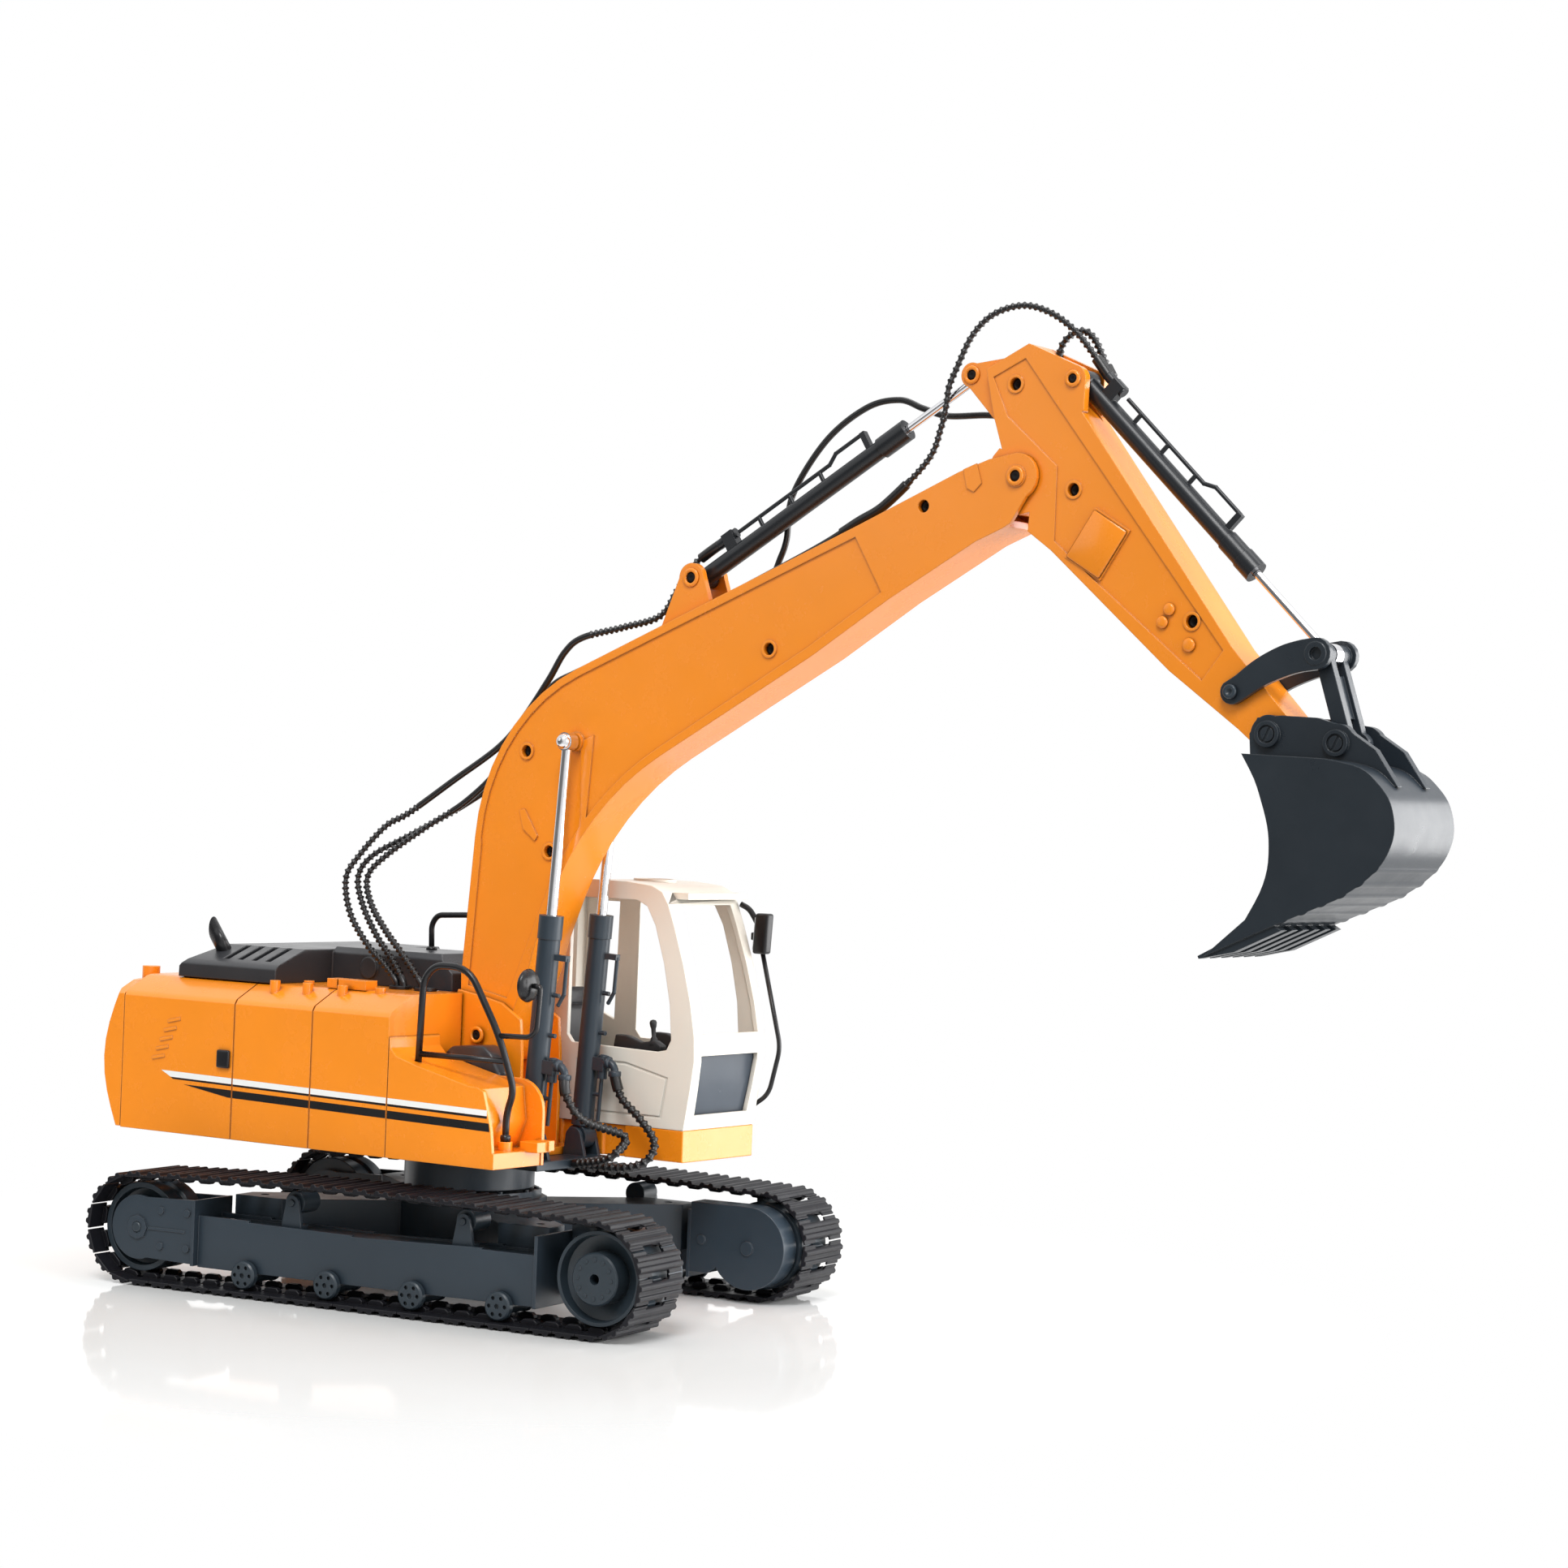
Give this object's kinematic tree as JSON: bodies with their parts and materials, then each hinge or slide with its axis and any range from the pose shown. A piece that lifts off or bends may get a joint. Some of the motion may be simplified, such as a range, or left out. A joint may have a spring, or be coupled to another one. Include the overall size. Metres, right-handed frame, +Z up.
{
  "type": "toy crawler excavator",
  "caption": "Crawler excavator toy with a slewing house, cab, hinged boom, stick and bucket moved by cylinders, and linked tracks.",
  "frame": {"origin": "on the floor at the middle of the whole outline, 140 mm in front of the slew axis", "axes": "+X from the tail towards the bucket in the plane of the boom, +Y towards the cab side, +Z up; the tracks stand turned by 6.2 degrees about Z"},
  "size_m": [0.6586, 0.2158, 0.4408],
  "materials": {
    "orange_plastic": "satin",
    "slate_plastic": "satin",
    "black_plastic": "satin",
    "track_plastic": "matte",
    "wheel_plastic": "satin",
    "chrome_rod": "polished",
    "cream_plastic": "satin",
    "grey_window": "gloss",
    "black_hose": "satin"
  },
  "bodies": {
    "undercarriage": {"undercarriage_frame": "slate_plastic", "slew_flange": "slate_plastic", "track_frame_right": "slate_plastic", "track_frame_left": "slate_plastic", "idler_guards": "slate_plastic", "final_drives": "slate_plastic", "track_shoes_right": "track_plastic", "track_shoes_left": "track_plastic", "carrier_brackets": "slate_plastic"},
    "house": {"turntable_deck": "orange_plastic", "cylinder_foot_bracket": "slate_plastic", "right_body_panel": "orange_plastic", "left_body_panel": "orange_plastic", "counterweight": "orange_plastic", "engine_hood": "black_plastic", "exhaust": "black_plastic", "front_fender_right": "orange_plastic", "cab_base": "orange_plastic", "cab_shell": "cream_plastic", "cab_lower_window": "grey_window", "cab_controls": "black_plastic", "handrail_right": "black_plastic", "handrail_rear": "black_plastic", "mirror_left": "black_plastic", "hose_grommets": "black_plastic", "cylinder_hose_right": "black_hose", "cylinder_hose_left": "black_hose"},
    "boom": {"boom": "orange_plastic", "stick_hose": "black_hose", "bucket_hose": "black_hose", "boom_hose": "black_hose", "stick_cable": "black_hose"},
    "idler_right": {"idler_right": "wheel_plastic"},
    "idler_left": {"idler_left": "wheel_plastic"},
    "drive_wheel_right": {"drive_wheel_right": "slate_plastic"},
    "drive_wheel_left": {"drive_wheel_left": "slate_plastic"},
    "track_roller_right_1": {"track_roller_right_1": "wheel_plastic"},
    "track_roller_right_2": {"track_roller_right_2": "wheel_plastic"},
    "track_roller_right_3": {"track_roller_right_3": "wheel_plastic"},
    "track_roller_right_4": {"track_roller_right_4": "wheel_plastic"},
    "track_roller_left_1": {"track_roller_left_1": "wheel_plastic"},
    "track_roller_left_2": {"track_roller_left_2": "wheel_plastic"},
    "track_roller_left_3": {"track_roller_left_3": "wheel_plastic"},
    "track_roller_left_4": {"track_roller_left_4": "wheel_plastic"},
    "carrier_roller_right_rear": {"carrier_roller_right_rear": "wheel_plastic"},
    "carrier_roller_right_front": {"carrier_roller_right_front": "wheel_plastic"},
    "carrier_roller_left_rear": {"carrier_roller_left_rear": "wheel_plastic"},
    "carrier_roller_left_front": {"carrier_roller_left_front": "wheel_plastic"},
    "boom_cylinder_barrel_right": {"boom_cylinder_barrel_right": "slate_plastic"},
    "boom_cylinder_barrel_left": {"boom_cylinder_barrel_left": "slate_plastic"},
    "boom_cylinder_rod_right": {"boom_cylinder_rod_right": "chrome_rod"},
    "boom_cylinder_rod_left": {"boom_cylinder_rod_left": "chrome_rod"},
    "stick": {"stick": "orange_plastic"},
    "stick_cylinder_barrel": {"stick_cylinder_barrel": "slate_plastic"},
    "stick_cylinder_rod": {"stick_cylinder_rod": "chrome_rod"},
    "bucket_cylinder_barrel": {"bucket_cylinder_barrel": "slate_plastic"},
    "bucket_cylinder_rod": {"bucket_cylinder_rod": "chrome_rod"},
    "rocker_links": {"rocker_links": "slate_plastic"},
    "push_link": {"push_link": "slate_plastic"},
    "bucket": {"bucket": "slate_plastic"}
  },
  "joints": [
    {"name": "swing", "type": "hinge", "parent": "undercarriage", "child": "house", "pos_m": [-0.14, 0, 0.06], "axis": [0, 0, 1], "continuous": true},
    {"name": "boom_lift", "type": "hinge", "parent": "house", "child": "boom", "pos_m": [-0.1185, -0.0083, 0.1197], "axis": [0, 1, 0], "range_deg": [-8, 30], "deforming": ["stick_hose", "boom_hose", "bucket_hose", "cylinder_hose_right", "cylinder_hose_left"]},
    {"name": "boom_cylinder_right_tilt", "type": "hinge", "parent": "house", "child": "boom_cylinder_barrel_right", "pos_m": [-0.084, -0.0267, 0.075], "axis": [0, 1, 0], "range_deg": [-7, 24.5]},
    {"name": "boom_cylinder_right_extend", "type": "slide", "parent": "boom_cylinder_barrel_right", "child": "boom_cylinder_rod_right", "axis": [0.0689, 0, 0.9976], "range_m": [-0.0235, 0.0065]},
    {"name": "boom_cylinder_left_tilt", "type": "hinge", "parent": "house", "child": "boom_cylinder_barrel_left", "pos_m": [-0.084, 0.0101, 0.075], "axis": [0, 1, 0], "range_deg": [-7, 24.5]},
    {"name": "boom_cylinder_left_extend", "type": "slide", "parent": "boom_cylinder_barrel_left", "child": "boom_cylinder_rod_left", "axis": [0.0689, 0, 0.9976], "range_m": [-0.0235, 0.0065]},
    {"name": "stick_crowd", "type": "hinge", "parent": "boom", "child": "stick", "pos_m": [0.1502, -0.0083, 0.367], "axis": [0, 1, 0], "range_deg": [-12, 22], "deforming": ["stick_cable", "bucket_hose"]},
    {"name": "stick_cylinder_tilt", "type": "hinge", "parent": "boom", "child": "stick_cylinder_barrel", "pos_m": [-0.014, -0.0083, 0.3265], "axis": [0, 1, 0], "range_deg": [-0.5, 0.8]},
    {"name": "stick_cylinder_extend", "type": "slide", "parent": "stick_cylinder_barrel", "child": "stick_cylinder_rod", "axis": [0.8542, 0, 0.52], "range_m": [-0.012, 0.021]},
    {"name": "bucket_curl", "type": "hinge", "parent": "stick", "child": "bucket", "pos_m": [0.2695, -0.0083, 0.2636], "axis": [0, 1, 0], "range_deg": [-20, 40]},
    {"name": "rocker_swing", "type": "hinge", "parent": "stick", "child": "rocker_links", "pos_m": [0.252, -0.0083, 0.28], "axis": [0, 1, 0], "range_deg": [-14, 27.5]},
    {"name": "push_link_swing", "type": "hinge", "parent": "rocker_links", "child": "push_link", "pos_m": [0.2875, -0.0083, 0.2953], "axis": [0, 1, 0], "range_deg": [-10, 6]},
    {"name": "bucket_cylinder_tilt", "type": "hinge", "parent": "stick", "child": "bucket_cylinder_barrel", "pos_m": [0.1738, -0.0083, 0.4064], "axis": [0, 1, 0], "range_deg": [-2, 3.5]},
    {"name": "bucket_cylinder_extend", "type": "slide", "parent": "bucket_cylinder_barrel", "child": "bucket_cylinder_rod", "axis": [0.7152, 0, -0.6989], "range_m": [-0.009, 0.017]},
    {"name": "drive_right_spin", "type": "hinge", "parent": "undercarriage", "child": "drive_wheel_right", "pos_m": [-0.01092, -0.06091, 0.0257], "axis": [-0.108, 0.9942, 0], "continuous": true},
    {"name": "idler_right_spin", "type": "hinge", "parent": "undercarriage", "child": "idler_right", "pos_m": [-0.25299, -0.08721, 0.0257], "axis": [-0.108, 0.9942, 0], "continuous": true},
    {"name": "roller_right_1_spin", "type": "hinge", "parent": "undercarriage", "child": "track_roller_right_1", "pos_m": [-0.19309, -0.08071, 0.0094], "axis": [-0.108, 0.9942, 0], "continuous": true},
    {"name": "roller_right_2_spin", "type": "hinge", "parent": "undercarriage", "child": "track_roller_right_2", "pos_m": [-0.14836, -0.07585, 0.0094], "axis": [-0.108, 0.9942, 0], "continuous": true},
    {"name": "roller_right_3_spin", "type": "hinge", "parent": "undercarriage", "child": "track_roller_right_3", "pos_m": [-0.10362, -0.07099, 0.0094], "axis": [-0.108, 0.9942, 0], "continuous": true},
    {"name": "roller_right_4_spin", "type": "hinge", "parent": "undercarriage", "child": "track_roller_right_4", "pos_m": [-0.05888, -0.06613, 0.0094], "axis": [-0.108, 0.9942, 0], "continuous": true},
    {"name": "carrier_right_rear_spin", "type": "hinge", "parent": "undercarriage", "child": "carrier_roller_right_rear", "pos_m": [-0.17298, -0.07601, 0.0431], "axis": [-0.108, 0.9942, 0], "continuous": true},
    {"name": "carrier_right_front_spin", "type": "hinge", "parent": "undercarriage", "child": "carrier_roller_right_front", "pos_m": [-0.08252, -0.06618, 0.0431], "axis": [-0.108, 0.9942, 0], "continuous": true},
    {"name": "drive_left_spin", "type": "hinge", "parent": "undercarriage", "child": "drive_wheel_left", "pos_m": [-0.02701, 0.08721, 0.0257], "axis": [-0.108, 0.9942, 0], "continuous": true},
    {"name": "idler_left_spin", "type": "hinge", "parent": "undercarriage", "child": "idler_left", "pos_m": [-0.26908, 0.06091, 0.0257], "axis": [-0.108, 0.9942, 0], "continuous": true},
    {"name": "roller_left_1_spin", "type": "hinge", "parent": "undercarriage", "child": "track_roller_left_1", "pos_m": [-0.20919, 0.06742, 0.0094], "axis": [-0.108, 0.9942, 0], "continuous": true},
    {"name": "roller_left_2_spin", "type": "hinge", "parent": "undercarriage", "child": "track_roller_left_2", "pos_m": [-0.16445, 0.07228, 0.0094], "axis": [-0.108, 0.9942, 0], "continuous": true},
    {"name": "roller_left_3_spin", "type": "hinge", "parent": "undercarriage", "child": "track_roller_left_3", "pos_m": [-0.11971, 0.07714, 0.0094], "axis": [-0.108, 0.9942, 0], "continuous": true},
    {"name": "roller_left_4_spin", "type": "hinge", "parent": "undercarriage", "child": "track_roller_left_4", "pos_m": [-0.07498, 0.082, 0.0094], "axis": [-0.108, 0.9942, 0], "continuous": true},
    {"name": "carrier_left_rear_spin", "type": "hinge", "parent": "undercarriage", "child": "carrier_roller_left_rear", "pos_m": [-0.18854, 0.06715, 0.0431], "axis": [-0.108, 0.9942, 0], "continuous": true},
    {"name": "carrier_left_front_spin", "type": "hinge", "parent": "undercarriage", "child": "carrier_roller_left_front", "pos_m": [-0.09807, 0.07698, 0.0431], "axis": [-0.108, 0.9942, 0], "continuous": true}
  ],
  "couplings": [
    {"joint": "boom_cylinder_right_tilt", "follows": "boom_lift", "ratio": 0.7899},
    {"joint": "boom_cylinder_right_extend", "follows": "boom_lift", "m_per_rad": -0.043058},
    {"joint": "boom_cylinder_left_tilt", "follows": "boom_lift", "ratio": 0.7899},
    {"joint": "boom_cylinder_left_extend", "follows": "boom_lift", "m_per_rad": -0.043058},
    {"joint": "stick_cylinder_tilt", "follows": "stick_crowd", "ratio": 0.0237},
    {"joint": "stick_cylinder_extend", "follows": "stick_crowd", "m_per_rad": 0.049967},
    {"joint": "rocker_swing", "follows": "bucket_curl", "ratio": 0.6607},
    {"joint": "push_link_swing", "follows": "bucket_curl", "ratio": -0.2278},
    {"joint": "bucket_cylinder_tilt", "follows": "bucket_curl", "ratio": 0.07338},
    {"joint": "bucket_cylinder_extend", "follows": "bucket_curl", "m_per_rad": 0.022262}
  ]
}
